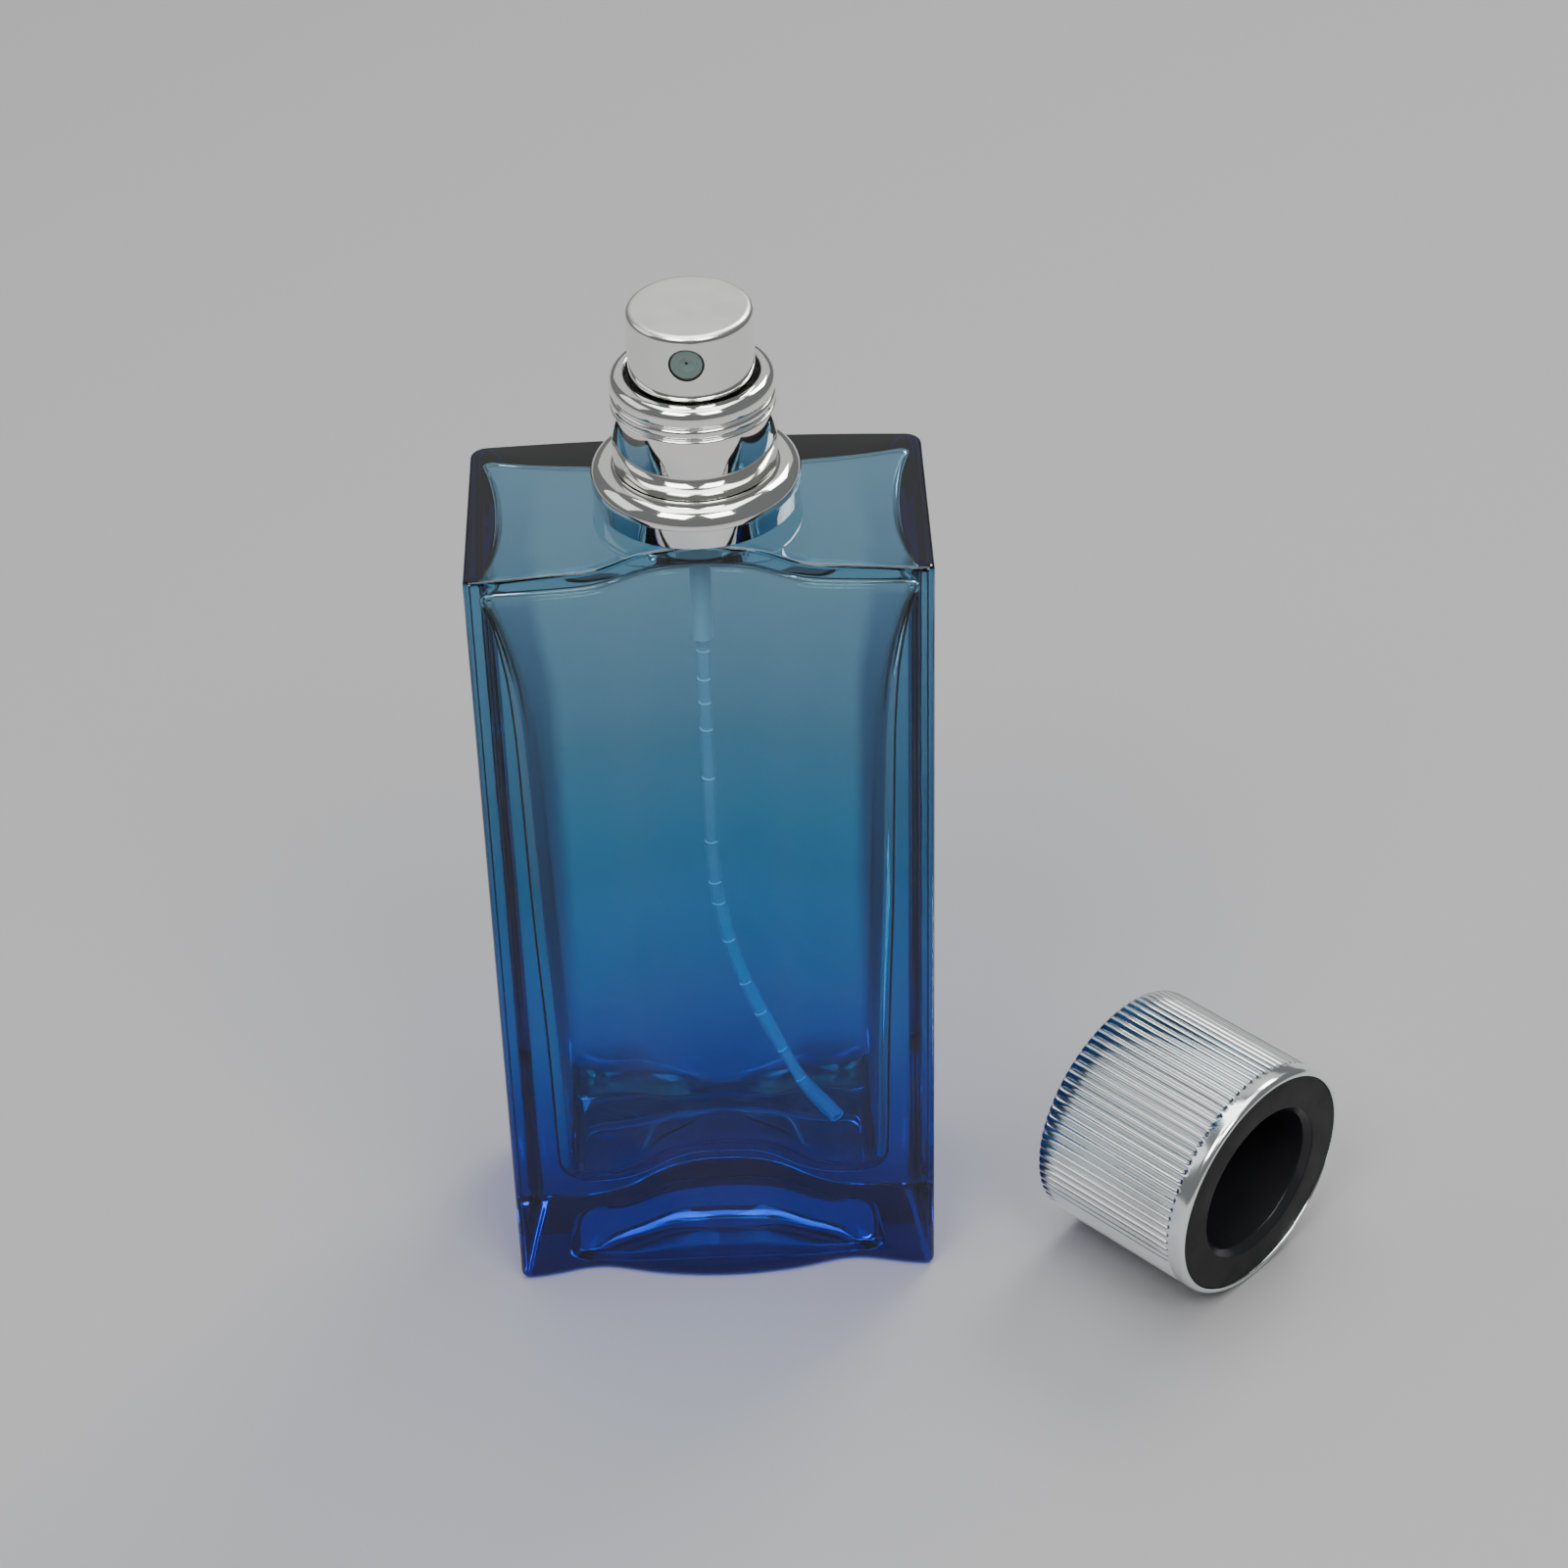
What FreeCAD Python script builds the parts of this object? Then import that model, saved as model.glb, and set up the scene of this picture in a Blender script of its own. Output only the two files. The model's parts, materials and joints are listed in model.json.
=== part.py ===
import FreeCAD, Part
import Sketcher
import math
import os

# A spray bottle for aftershave with its cap taken off and laid beside it.
# A heavy glass bottle with a waved front face carries a crimped spray pump under a silver collar.
# The origin is the centre of the bottle's foot on the surface it stands on, +Z is up and the
# waved front face looks along -Y. Every size is in millimetres.

Vector = FreeCAD.Vector
Rotation = FreeCAD.Rotation
Placement = FreeCAD.Placement

# ---------------------------------------------------------------- driving dimensions

SIZES = {
    # glass bottle
    "glass_width": 55.0,
    "glass_depth": 30.0,
    "glass_height": 112.0,
    "front_corner_radius": 1.0,
    "back_corner_radius": 1.8,
    "back_bulge": 1.0,
    "scoop_depth": 6.1,
    "flute_share": 0.59,
    "flute_width": 10.0,
    "wave_dip": 1.7,
    "wave_dip_place": 17.0,
    "wave_dip_width": 6.0,
    "wave_swell": 0.7,
    "wave_swell_width": 8.0,
    "wave_top": 24.0,
    "heel": 1.2,
    "push_up_depth": 0.8,
    "push_up_half_width": 21.5,
    "push_up_half_depth": 10.0,
    "push_up_corner": 4.0,
    "push_up_arch": 1.2,
    "push_up_arch_radius": 34.0,
    "push_up_arch_half_length": 19.0,
    "funnel_height": 3.0,
    "funnel_radius": 7.6,
    "pinch_width": 8.5,
    # neck, on the middle of the scooped top
    "pump_offset": 3.1,
    "neck_groove_radius": 6.6,
    "neck_bead_radius": 7.5,
    "neck_bead_bottom": 117.8,
    "neck_top": 121.2,
    "neck_bore_radius": 4.6,
    # crimped pump
    "gasket_radius": 7.4,
    "gasket_top": 122.0,
    "flange_radius": 7.3,
    "flange_top": 122.8,
    "barrel_radius": 4.3,
    "barrel_bottom": 107.9,
    "barrel_bore": 3.3,
    "seat_bore": 0.6,
    "seat_level": 108.5,
    "pocket_bore": 1.25,
    "pocket_top": 110.6,
    "lip_bore": 0.75,
    "spring_seat": 110.9,
    "tail_radius": 1.35,
    "tail_bottom": 92.0,
    "tube_radius": 0.95,
    "tube_bore": 0.62,
    "tube_top": 99.0,
    "tube_bend_start": 60.0,
    "tube_bend_radius": 66.0,
    "tube_bend_angle": 35.0,
    "tube_tip": 7.2,
    "tube_heading": -16.0,
    "guide_radius": 3.3,
    "guide_bore": 1.45,
    "guide_bottom": 120.9,
    "ferrule_radius": 7.95,
    "ferrule_bore": 7.55,
    "ferrule_lip": 6.75,
    "ferrule_bottom": 117.1,
    "ferrule_lip_top": 117.5,
    "ferrule_top": 123.2,
    "ferrule_hole": 2.2,
    "ball_radius": 0.95,
    "ball_centre": 109.26,
    "spring_coil_radius": 2.3,
    "spring_wire_radius": 0.18,
    "spring_turns": 5.0,
    "stem_radius": 1.4,
    "stem_bore": 0.6,
    "stem_flange_radius": 2.8,
    "stem_flange_bottom": 117.4,
    "piston_bottom": 118.0,
    "piston_top": 120.6,
    "piston_radius": 3.26,
    "piston_waist": 2.7,
    "piston_lip": 0.6,
    "stem_bore_bottom": 118.6,
    "stem_top": 132.5,
    # collar and its plastic liner
    "liner_radius": 9.2,
    "liner_bore": 8.0,
    "liner_mouth": 8.35,
    "liner_bottom": 113.0,
    "liner_step": 123.2,
    "liner_top": 126.8,
    "collar_radius": 9.81,
    "collar_foot_radius": 9.6,
    "collar_bottom": 112.3,
    "collar_foot_top": 117.2,
    "collar_mouth": 8.0,
    "collar_mouth_bottom": 127.8,
    "collar_top": 129.2,
    "collar_bead_bottom": 126.9,
    "collar_groove_radius": 9.42,
    "collar_ridge_top": 126.6,
    "collar_ridge_bottom": 125.45,
    "collar_shoulder": 125.15,
    "collar_rolled_edge": 1.35,
    "collar_soft_edge": 0.3,
    # ring round the collar's foot
    "ring_bore": 9.65,
    "ring_bead_radius": 12.7,
    "ring_bead_bottom": 114.6,
    "ring_bead_top": 117.1,
    "ring_bead_round": 2.2,
    "ring_bead_underside": 0.25,
    "skirt_radius": 12.4,
    "skirt_inner": 11.4,
    "skirt_bottom": 112.05,
    "skirt_web": 113.4,
    # actuator
    "button_radius": 7.5,
    "button_inner": 7.1,
    "button_bottom": 128.0,
    "button_top": 137.7,
    "button_roof": 137.2,
    "button_edge": 0.85,
    "core_bottom": 128.4,
    "core_skirt_inner": 6.1,
    "core_roof": 131.5,
    "core_boss_radius": 2.8,
    "nozzle_level": 134.1,
    "nozzle_hole": 2.1,
    "nozzle_radius": 1.85,
    "nozzle_back": 4.2,
    "nozzle_face": 7.25,
    "nozzle_dish": 0.9,
    "nozzle_dish_depth": 0.25,
    "nozzle_orifice": 0.2,
    "channel_radius": 0.5,
    "nozzle_heading": -4.0,
    # cap, from its closed end to its mouth
    "cap_radius": 16.4,
    "cap_bore": 15.5,
    "cap_length": 24.5,
    "cap_roof": 1.2,
    "cap_edge": 0.7,
    "cap_rim_edge": 0.75,
    "sleeve_radius": 11.3,
    "sleeve_bore": 10.1,
    "sleeve_mouth": 11.0,
    "sleeve_roof_outer": 2.6,
    "sleeve_roof_inner": 3.9,
    "sleeve_flange_back": 22.0,
    "sleeve_chamfer_end": 23.4,
    "sleeve_face": 24.3,
    "cap_end_x": 52.7,
    "cap_end_y": -1.3,
    "cap_heading": -45.6,
}
# The cavity's outline, level by level: its half width in the corners and between them, the glass in
# front and behind at the middle and at the corners, the corner radius, how far the rear wall is
# pinched in at the middle, and how far the whole outline is drawn in to round the floor.
CAVITY_COLUMNS = ("level", "corner_half", "middle_half", "wall", "corner_wall", "corner", "pinch", "inset")
CAVITY_ROWS = {
    "floor": (13.0, 22.2, 22.2, 2.8, 2.8, 4.0, 5.0, 4.0),
    "heel": (14.5, 22.2, 22.2, 2.8, 2.8, 4.0, 4.6, 1.4),
    "foot": (18.0, 22.2, 22.2, 2.8, 2.8, 4.0, 3.6, 0.0),
    "low": (34.0, 22.4, 22.4, 2.7, 2.7, 4.0, 0.7, 0.0),
    "middle": (60.0, 23.1, 23.1, 2.7, 2.7, 3.8, 0.0, 0.0),
    "flare": (90.0, 23.5, 23.2, 2.6, 2.6, 3.2, 0.0, 0.0),
    "throat": (101.0, 24.4, 23.5, 2.7, 1.9, 2.2, 0.0, 0.0),
    "ceiling": (108.4, 26.5, 24.5, 3.0, 0.9, 1.2, 0.0, 0.0),
}
for row_name, row_values in CAVITY_ROWS.items():
    for column, value in zip(CAVITY_COLUMNS, row_values):
        SIZES[f"cavity_{row_name}_{column}"] = value
SIZES["piston_lip_low"] = SIZES["piston_bottom"] + SIZES["piston_lip"]
SIZES["piston_lip_high"] = SIZES["piston_top"] - SIZES["piston_lip"]
SIZES["nozzle_dish_floor"] = SIZES["nozzle_face"] - SIZES["nozzle_dish_depth"]

doc = FreeCAD.newDocument("SprayBottle")
sheet = doc.addObject("Spreadsheet::Sheet", "Sizes")


def fill_sheet():
    for row, (alias, value) in enumerate(SIZES.items(), start=1):
        sheet.set(f"A{row}", alias.replace("_", " "))
        sheet.set(f"B{row}", str(value))
        sheet.setAlias(f"B{row}", alias)
    doc.recompute()


def size(alias):
    return float(sheet.get(alias))


# ---------------------------------------------------------------- helpers for turned pieces

# a sketch's own origin point and its two axes, as the sketch numbers them
ORIGIN = (-1, 1)
LEVEL_AXIS = -1
VERTICAL_AXIS = -2


def new_body(label):
    body = doc.addObject("PartDesign::Body", label)
    body.Label = label
    return body


def plane_of(body, role):
    return next(plane for plane in body.Origin.OriginFeatures if plane.Role == role)


def new_sketch(body, label, role="XZ_Plane"):
    sketch = body.newObject("Sketcher::SketchObject", label)
    sketch.AttachmentSupport = (plane_of(body, role), [""])
    sketch.MapMode = "FlatFace"
    return sketch


def drive(sketch, kind, where, alias):
    """A dimension of the sketch that takes its value from the sheet."""
    index = sketch.addConstraint(Sketcher.Constraint(kind, *where, size(alias)))
    sketch.setExpression(f"Constraints[{index}]", f"Sizes.{alias}")


def outline_sketch(body, label, corners):
    """A closed half section: each corner is (radius, height), where None puts it on that axis."""
    sketch = new_sketch(body, label)
    points = [
        Vector(size(radius) if radius else 0, size(level) if level else 0, 0)
        for radius, level in corners
    ]
    for index, start in enumerate(points):
        end = points[(index + 1) % len(points)]
        sketch.addGeometry(Part.LineSegment(start, end), False)
    for index, (radius, level) in enumerate(corners):
        before = (index - 1) % len(corners)
        sketch.addConstraint(Sketcher.Constraint("Coincident", before, 2, index, 1))
        for alias, distance, axis in (
            (radius, "DistanceX", VERTICAL_AXIS), (level, "DistanceY", LEVEL_AXIS),
        ):
            if alias is None:
                sketch.addConstraint(Sketcher.Constraint("PointOnObject", index, 1, axis))
            else:
                drive(sketch, distance, (*ORIGIN, index, 1), alias)
    return sketch


def turned(label, corners):
    """A body turned about its own Z axis from one half section."""
    body = new_body(label)
    sketch = outline_sketch(body, f"{label}_section", corners)
    turn = body.newObject("PartDesign::Revolution", f"{label}_turned")
    turn.Profile = sketch
    turn.ReferenceAxis = (sketch, ["V_Axis"])
    turn.Angle = 360
    doc.recompute()
    return body


def circle_edges(shape, rings):
    """Names of the circular edges at each (radius, height) of the list."""
    names = []
    for number, edge in enumerate(shape.Edges, start=1):
        curve = edge.Curve
        if not isinstance(curve, Part.Circle):
            continue
        for radius, level in rings:
            height = size(level) if level else 0
            if abs(curve.Radius - size(radius)) < 0.01 and abs(curve.Center.z - height) < 0.01:
                names.append(f"Edge{number}")
    return names


def soften(body, rings, alias):
    """Round the circular edges at the given (radius, height) places."""
    base = body.Tip
    fillet = body.newObject("PartDesign::Fillet", f"{body.Label}_soft")
    fillet.Base = (base, circle_edges(base.Shape, rings))
    fillet.setExpression("Radius", f"Sizes.{alias}")
    doc.recompute()


def drill(body, label, radius, level, depth_from_axis):
    """A round hole across the axis, cut towards -Y from a distance out from the axis."""
    sketch = new_sketch(body, f"{label}_circle")
    sketch.addGeometry(Part.Circle(Vector(0, size(level), 0), Vector(0, 0, 1), size(radius)), False)
    sketch.addConstraint(Sketcher.Constraint("PointOnObject", 0, 3, VERTICAL_AXIS))
    drive(sketch, "DistanceY", (*ORIGIN, 0, 3), level)
    drive(sketch, "Radius", (0,), radius)
    if depth_from_axis:
        # the plane's own normal is -Y, so a positive offset is towards the front
        sketch.AttachmentOffset = Placement(Vector(0, 0, size(depth_from_axis)), Rotation())
        sketch.setExpression("AttachmentOffset.Base.z", f"Sizes.{depth_from_axis}")
    before = body.Tip.Shape.Volume
    pocket = body.newObject("PartDesign::Pocket", label)
    pocket.Profile = sketch
    pocket.Type = "ThroughAll"
    pocket.Reversed = True
    doc.recompute()
    if not pocket.Shape.Volume < before - 0.1:
        raise RuntimeError(f"{label} cuts nothing")


def stand_on_pump_axis(*pieces, heading=None):
    for piece in pieces:
        turn = Rotation(Vector(0, 0, 1), size(heading) if heading else 0)
        piece.Placement = Placement(Vector(0, size("pump_offset"), 0), turn)
        piece.setExpression("Placement.Base.y", "Sizes.pump_offset")


# ---------------------------------------------------------------- glass bottle

FACE_STEPS = 14
CAVITY_STEPS = 12
SIDE_STEPS = 6


def front_depth(x, wave):
    """How far the front face lies behind the plane of its corners, at x.

    wave 1 is the bell-shaped scoop of the upper bottle, wave 0 the gently waved foot.
    """
    edge = size("glass_width") / 2
    scoop = size("scoop_depth")
    flute = size("flute_share") * scoop
    bell = flute * math.exp(-(x / size("flute_width")) ** 4) + (scoop - flute) * (1 - (abs(x) / edge) ** 1.5)
    dips = size("wave_dip") * math.exp(-((abs(x) - size("wave_dip_place")) / size("wave_dip_width")) ** 2)
    swell = size("wave_swell") * math.exp(-(x / size("wave_swell_width")) ** 2)
    return wave * bell + (1 - wave) * (dips - swell)


def through(points):
    curve = Part.BSplineCurve()
    curve.interpolate(points)
    return curve


def glass_section(level, wave, inset):
    """The bottle's outer outline at one level, drawn in by inset all round."""
    half_width = size("glass_width") / 2 - inset
    half_depth = size("glass_depth") / 2 - inset
    front = size("front_corner_radius")
    back = size("back_corner_radius")
    reach = half_width - front
    face = [
        Vector(x, -half_depth + front_depth(x, wave), level)
        for x in (reach * (2 * step / FACE_STEPS - 1) for step in range(FACE_STEPS + 1))
    ]
    rear = half_depth + size("back_bulge")
    curve = through(face)
    half = math.sqrt(0.5)
    front_y = face[0].y
    left_arc = Part.Arc(
        Vector(-half_width, front_y + front, level),
        Vector(-half_width + front * (1 - half), front_y + front * (1 - half), level),
        face[0],
    )
    right_arc = Part.Arc(
        face[-1],
        Vector(half_width - front * (1 - half), front_y + front * (1 - half), level),
        Vector(half_width, front_y + front, level),
    )
    right_back = Part.Arc(
        Vector(half_width, half_depth - back, level),
        Vector(half_width - back * (1 - half), half_depth - back * (1 - half), level),
        Vector(half_width - back, half_depth, level),
    )
    left_back = Part.Arc(
        Vector(-half_width + back, half_depth, level),
        Vector(-half_width + back * (1 - half), half_depth - back * (1 - half), level),
        Vector(-half_width, half_depth - back, level),
    )
    rear_arc = Part.Arc(
        Vector(half_width - back, half_depth, level),
        Vector(0, rear, level),
        Vector(-half_width + back, half_depth, level),
    )
    right_side = Part.LineSegment(
        Vector(half_width, front_y + front, level),
        Vector(half_width, half_depth - back, level),
    )
    left_side = Part.LineSegment(
        Vector(-half_width, half_depth - back, level),
        Vector(-half_width, front_y + front, level),
    )
    pieces = [curve, right_arc, right_side, right_back, rear_arc, left_back, left_side, left_arc]
    return Part.Wire([piece.toShape() for piece in pieces])


def cavity_section(row):
    """The cavity's outline at one level: its front follows the scooped face, its sides bow in."""
    level, corner_half, middle_half, wall, corner_wall, radius, pinch, inset = (
        size(f"cavity_{row}_{column}") for column in CAVITY_COLUMNS
    )
    half_depth = size("glass_depth") / 2
    side = corner_half - inset
    reach = side - radius

    def glass(x):
        return wall + inset + (corner_wall - wall) * (abs(x) / side) ** 2.5

    def rear_line(x):
        return half_depth - glass(x) - pinch * math.exp(-(x / size("pinch_width")) ** 2)

    across = [reach * (2 * step / CAVITY_STEPS - 1) for step in range(CAVITY_STEPS + 1)]
    front = [Vector(x, -half_depth + front_depth(x, 1) + glass(x), level) for x in across]
    rear = [Vector(x, rear_line(x), level) for x in reversed(across)]
    side_low, side_high = front[-1].y + radius, rear[0].y - radius
    right = []
    for step in range(SIDE_STEPS + 1):
        share = step / SIDE_STEPS
        bow = (corner_half - middle_half) * (1 - (2 * share - 1) ** 2)
        right.append(Vector(side - bow, side_low + (side_high - side_low) * share, level))
    left = [Vector(-point.x, point.y, level) for point in reversed(right)]
    off = radius * (1 - math.sqrt(0.5))

    def corner(start, end, x_sign, y_sign):
        wall_y = front[-1].y if y_sign < 0 else rear[0].y
        return Part.Arc(start, Vector(x_sign * (side - off), wall_y - y_sign * off, level), end)

    pieces = [
        through(front), corner(front[-1], right[0], 1, -1),
        through(right), corner(right[-1], rear[0], 1, 1),
        through(rear), corner(rear[-1], left[0], -1, 1),
        through(left), corner(left[-1], front[0], -1, -1),
    ]
    return Part.Wire([piece.toShape() for piece in pieces])


def glass_outside():
    heel, wave_top, height = size("heel"), size("wave_top"), size("glass_height")
    foot = Part.makeLoft([glass_section(0, 0, heel), glass_section(heel, 0, 0)], True, True)
    wave = Part.makeLoft([glass_section(heel, 0, 0), glass_section(wave_top, 1, 0)], True, True)
    upper = Part.Face(glass_section(wave_top, 1, 0)).extrude(Vector(0, 0, height - wave_top))
    neck_base = Vector(0, size("pump_offset"), height - 1)
    up = Vector(0, 0, 1)
    neck = Part.makeCylinder(size("neck_groove_radius"), size("neck_top") - height + 1, neck_base, up)
    bead_base = Vector(0, size("pump_offset"), size("neck_bead_bottom"))
    bead_height = size("neck_top") - size("neck_bead_bottom")
    bead = Part.makeCylinder(size("neck_bead_radius"), bead_height, bead_base, up)
    return foot.fuse([wave, upper, neck, bead])


def glass_cavity():
    """The space for the liquid, from its rounded floor to the bore of the neck."""
    sections = {row: cavity_section(row) for row in CAVITY_ROWS}
    runs = (
        ("floor", "heel", "foot"), ("foot", "low", "middle"),
        ("middle", "flare"), ("flare", "throat", "ceiling"),
    )
    lofts = [Part.makeLoft([sections[row] for row in run], True, True) for run in runs]
    ceiling = size("cavity_ceiling_level")
    axis = Vector(0, size("pump_offset"), ceiling)
    bore = Part.makeCylinder(size("neck_bore_radius"), size("neck_top") - ceiling + 1, axis)
    funnel = Part.makeCone(size("funnel_radius"), size("neck_bore_radius"), size("funnel_height"), axis)
    return lofts[0].fuse([*lofts[1:], bore, funnel])


def push_up():
    """The shallow recess under the foot, arched from front to rear, which leaves a rim to stand on."""
    half_width, half_depth = size("push_up_half_width"), size("push_up_half_depth")
    depth = size("push_up_depth")
    block = Part.makeBox(2 * half_width, 2 * half_depth, 2 * depth, Vector(-half_width, -half_depth, -depth))
    uprights = [edge for edge in block.Edges if abs(edge.tangentAt(edge.FirstParameter).z) > 0.99]
    recess = block.makeFillet(size("push_up_corner"), uprights)
    half_length, radius = size("push_up_arch_half_length"), size("push_up_arch_radius")
    axis_level = depth + size("push_up_arch") - radius
    arch = Part.makeCylinder(radius, 2 * half_length, Vector(-half_length, 0, axis_level), Vector(1, 0, 0))
    return recess.fuse(arch.common(Part.makeBox(
        2 * half_length, 2 * half_depth, 2 * depth, Vector(-half_length, -half_depth, 0)
    ))).removeSplitter()


def make_glass_bottle():
    bottle = doc.addObject("Part::Feature", "glass_bottle")
    bottle.Label = "glass_bottle"
    cavity = glass_cavity()
    glass = glass_outside().cut([cavity, push_up()]).removeSplitter()
    bottle.Shape = glass.Solids[0] if len(glass.Solids) == 1 else glass
    bottle.Placement = Placement()
    print("cavity volume in millilitres:", round(cavity.Volume / 1000, 1))
    return bottle


# ---------------------------------------------------------------- crimped pump

def make_neck_gasket():
    return turned("neck_gasket", [
        ("neck_bore_radius", "neck_top"), ("gasket_radius", "neck_top"),
        ("gasket_radius", "gasket_top"), ("neck_bore_radius", "gasket_top"),
    ])


def make_pump_housing():
    return turned("pump_housing", [
        ("tube_radius", "tail_bottom"), ("tail_radius", "tail_bottom"),
        ("tail_radius", "barrel_bottom"), ("barrel_radius", "barrel_bottom"),
        ("barrel_radius", "gasket_top"), ("flange_radius", "gasket_top"),
        ("flange_radius", "flange_top"), ("barrel_bore", "flange_top"),
        ("barrel_bore", "spring_seat"), ("lip_bore", "spring_seat"),
        ("lip_bore", "pocket_top"), ("pocket_bore", "pocket_top"),
        ("pocket_bore", "seat_level"), ("seat_bore", "seat_level"),
        ("seat_bore", "tube_top"), ("tube_radius", "tube_top"),
    ])


def make_stem_guide():
    return turned("stem_guide", [
        ("guide_bore", "guide_bottom"), ("guide_radius", "guide_bottom"),
        ("guide_radius", "flange_top"), ("guide_bore", "flange_top"),
    ])


def make_crimp_ferrule():
    return turned("crimp_ferrule", [
        ("ferrule_lip", "ferrule_bottom"), ("ferrule_radius", "ferrule_bottom"),
        ("ferrule_radius", "ferrule_top"), ("ferrule_hole", "ferrule_top"),
        ("ferrule_hole", "flange_top"), ("ferrule_bore", "flange_top"),
        ("ferrule_bore", "ferrule_lip_top"), ("ferrule_lip", "ferrule_lip_top"),
    ])


def make_dip_tube():
    """A tube that drops straight, then bends evenly towards the right-hand corner of the floor."""
    body = new_body("dip_tube")
    angle = math.radians(size("tube_bend_angle"))
    bend = size("tube_bend_radius")
    top = Vector(0, size("tube_top"), 0)
    start = Vector(0, size("tube_bend_start"), 0)
    centre = start + Vector(bend, 0, 0)
    middle = centre + Vector(-bend * math.cos(angle / 2), -bend * math.sin(angle / 2), 0)
    end = centre + Vector(-bend * math.cos(angle), -bend * math.sin(angle), 0)
    tip = end + Vector(math.sin(angle), -math.cos(angle), 0) * size("tube_tip")
    path = new_sketch(body, "dip_tube_path")
    path.addGeometry(Part.LineSegment(top, start), False)
    path.addGeometry(Part.Arc(start, middle, end), False)
    path.addGeometry(Part.LineSegment(end, tip), False)
    path.addConstraint(Sketcher.Constraint("PointOnObject", 0, 1, VERTICAL_AXIS))
    path.addConstraint(Sketcher.Constraint("PointOnObject", 0, 2, VERTICAL_AXIS))
    drive(path, "DistanceY", (*ORIGIN, 0, 1), "tube_top")
    drive(path, "DistanceY", (*ORIGIN, 0, 2), "tube_bend_start")
    ring = new_sketch(body, "dip_tube_ring", "XY_Plane")
    ring.AttachmentOffset = Placement(Vector(0, 0, size("tube_top")), Rotation())
    ring.setExpression("AttachmentOffset.Base.z", "Sizes.tube_top")
    for number, alias in enumerate(("tube_radius", "tube_bore")):
        ring.addGeometry(Part.Circle(Vector(), Vector(0, 0, 1), size(alias)), False)
        ring.addConstraint(Sketcher.Constraint("Coincident", number, 3, -1, 1))
        drive(ring, "Radius", (number,), alias)
    doc.recompute()
    pipe = body.newObject("PartDesign::AdditivePipe", "dip_tube_pipe")
    pipe.Profile = ring
    pipe.Spine = (path, ["Edge1", "Edge2", "Edge3"])
    doc.recompute()
    section = math.pi * (size("tube_radius") ** 2 - size("tube_bore") ** 2)
    share = pipe.Shape.Volume / section / path.Shape.Length
    print("dip tube volume over section times length:", round(share, 4))
    return body


def make_inlet_ball():
    ball = doc.addObject("Part::Sphere", "inlet_ball")
    ball.Label = "inlet_ball"
    ball.setExpression("Radius", "Sizes.ball_radius")
    ball.Placement = Placement(Vector(0, size("pump_offset"), size("ball_centre")), Rotation())
    ball.setExpression("Placement.Base.y", "Sizes.pump_offset")
    ball.setExpression("Placement.Base.z", "Sizes.ball_centre")
    return ball


def make_return_spring():
    body = new_body("return_spring")
    wire = new_sketch(body, "spring_wire")
    bottom = size("spring_seat") + size("spring_wire_radius")
    centre = Vector(size("spring_coil_radius"), bottom, 0)
    wire.addGeometry(Part.Circle(centre, Vector(0, 0, 1), size("spring_wire_radius")), False)
    drive(wire, "DistanceX", (*ORIGIN, 0, 3), "spring_coil_radius")
    drive(wire, "Radius", (0,), "spring_wire_radius")
    level = wire.addConstraint(Sketcher.Constraint("DistanceY", *ORIGIN, 0, 3, bottom))
    wire.setExpression(f"Constraints[{level}]", "Sizes.spring_seat + Sizes.spring_wire_radius")
    doc.recompute()
    coil = body.newObject("PartDesign::AdditiveHelix", "spring_coil")
    coil.Profile = wire
    coil.ReferenceAxis = (wire, ["V_Axis"])
    coil.Mode = "height-turns-angle"
    coil.setExpression("Turns", "Sizes.spring_turns")
    coil.setExpression(
        "Height", "Sizes.stem_flange_bottom - Sizes.spring_seat - 2 * Sizes.spring_wire_radius"
    )
    doc.recompute()
    return body


def make_pump_stem():
    return turned("pump_stem", [
        (None, "stem_flange_bottom"), ("stem_flange_radius", "stem_flange_bottom"),
        ("stem_flange_radius", "piston_bottom"), ("stem_radius", "piston_bottom"),
        ("stem_radius", "stem_top"), ("stem_bore", "stem_top"),
        ("stem_bore", "stem_bore_bottom"), (None, "stem_bore_bottom"),
    ])


def make_piston():
    return turned("piston", [
        ("stem_radius", "piston_bottom"), ("piston_radius", "piston_bottom"),
        ("piston_radius", "piston_lip_low"), ("piston_waist", "piston_lip_low"),
        ("piston_waist", "piston_lip_high"), ("piston_radius", "piston_lip_high"),
        ("piston_radius", "piston_top"), ("stem_radius", "piston_top"),
    ])


# ---------------------------------------------------------------- collar

def make_collar_liner():
    return turned("collar_liner", [
        ("liner_bore", "liner_bottom"), ("liner_radius", "liner_bottom"),
        ("liner_radius", "liner_top"), ("liner_mouth", "liner_top"),
        ("liner_mouth", "liner_step"), ("liner_bore", "liner_step"),
    ])


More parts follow.
